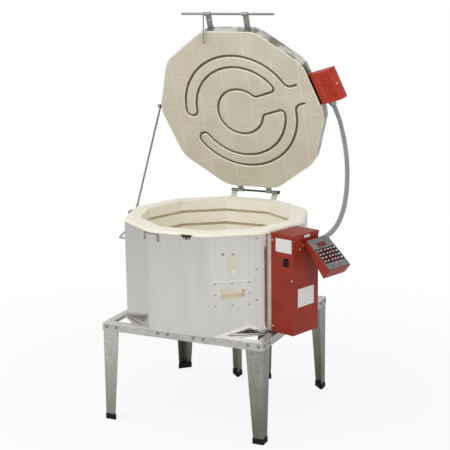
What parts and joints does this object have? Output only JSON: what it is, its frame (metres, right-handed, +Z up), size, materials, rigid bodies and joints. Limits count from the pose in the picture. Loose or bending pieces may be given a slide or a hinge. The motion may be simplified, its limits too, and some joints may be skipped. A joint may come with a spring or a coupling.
{
  "type": "electric kiln",
  "caption": "Ten-sided electric brick kiln on a folded steel stand, with a hinged lid, a control box and a conduit to the lid.",
  "frame": {"origin": "on the floor under the middle of the stand", "axes": "+Z up; +Y towards the hinge at the back, with the front facet facing -Y; +X to the right, the side with the control box"},
  "size_m": [0.9992, 0.7731, 1.6046],
  "materials": {
    "galvanised": "spangled zinc, satin",
    "foot_rubber": "matte moulded",
    "zinc": "zinc plated, satin",
    "stainless": "bright annealed sheet",
    "firebrick": "porous insulating brick",
    "element_wire": "oxidised resistance wire",
    "ceramic": "unglazed",
    "black_steel": "black oxide",
    "dark_steel": "dark lacquer",
    "red_paint": "fine textured powder coat",
    "black_plastic": "satin",
    "core_steel": "laminated core",
    "grey_panel": "membrane overlay",
    "red_glass": "tinted window",
    "lamp": "lens"
  },
  "bodies": {
    "base": {"stand_rail_front": "galvanised", "stand_rail_right": "galvanised", "stand_rail_back": "galvanised", "stand_rail_left": "galvanised", "leg_front_left": "galvanised", "leg_front_right": "galvanised", "leg_back_left": "galvanised", "leg_back_right": "galvanised", "middle_legs": "galvanised", "cross_supports": "galvanised", "corner_braces": "galvanised", "box_channel": "galvanised", "floor_pan": "galvanised", "foot_caps": "foot_rubber", "stand_bolts": "zinc", "jacket_screws": "zinc", "box_screws": "zinc", "hinge_straps_body": "zinc", "arm_catch": "zinc", "side_handles": "zinc", "conduit": "zinc", "conduit_connector_box": "zinc", "controller_bracket": "zinc", "jacket": "stainless", "window_plate": "stainless", "lid_keeper": "stainless", "floor_slab": "firebrick", "brick_course_lower": "firebrick", "brick_course_middle": "firebrick", "brick_course_upper": "firebrick", "side_elements": "element_wire", "thermocouple": "ceramic", "hinge_rod": "black_steel", "front_stop": "black_steel", "control_box": "red_paint", "controller_housing": "red_paint", "rocker_bezel": "black_plastic", "power_terminal_block": "black_plastic", "relay": "black_plastic", "keypad": "black_plastic", "transformer": "core_steel", "controller_panel": "grey_panel", "display_window": "red_glass", "indicator_lamps": "lamp"},
    "lid": {"lid_slab": "firebrick", "lid_band": "stainless", "lid_element": "element_wire", "lid_hinge_straps": "zinc", "lid_band_clamp": "zinc", "handle_brackets": "zinc", "handle_bar": "dark_steel", "arm_pivot_bolt": "black_steel", "lid_terminal_box": "red_paint", "lid_box_seat": "black_steel", "lid_terminal_block": "ceramic", "conduit_connector_lid": "zinc"},
    "arm": {"support_arm": "zinc"},
    "hook": {"latch_hook": "zinc"},
    "cover": {"peephole_cover": "stainless"},
    "switch": {"rocker": "black_plastic"}
  },
  "joints": [
    {"name": "lid_hinge", "type": "hinge", "parent": "base", "child": "lid", "pos_m": [0, 0.3896, 0.83185], "axis": [1, 0, 0], "range_deg": [0, 70.67], "deforming": ["conduit"]},
    {"name": "support_arm_pivot", "type": "hinge", "parent": "lid", "child": "arm", "pos_m": [-0.3866, 0.26092, 1.19959], "axis": [1, 0, 0], "range_deg": [-8, 45]},
    {"name": "latch_hook_swing", "type": "hinge", "parent": "lid", "child": "hook", "pos_m": [-0.104, 0.12116, 1.59682], "axis": [1, 0, 0], "range_deg": [-70.67, 0]},
    {"name": "peephole_cover_pivot", "type": "hinge", "parent": "base", "child": "cover", "pos_m": [0.20556, -0.29823, 0.725], "axis": [0.5878, -0.809, 0], "range_deg": [-49, 229]},
    {"name": "rocker_tilt", "type": "hinge", "parent": "base", "child": "switch", "pos_m": [0.39357, -0.23039, 0.6935], "axis": [0.9511, -0.309, 0], "range_deg": [0, 20]}
  ],
  "couplings": [
    {"joint": "latch_hook_swing", "follows": "lid_hinge", "ratio": -1}
  ]
}
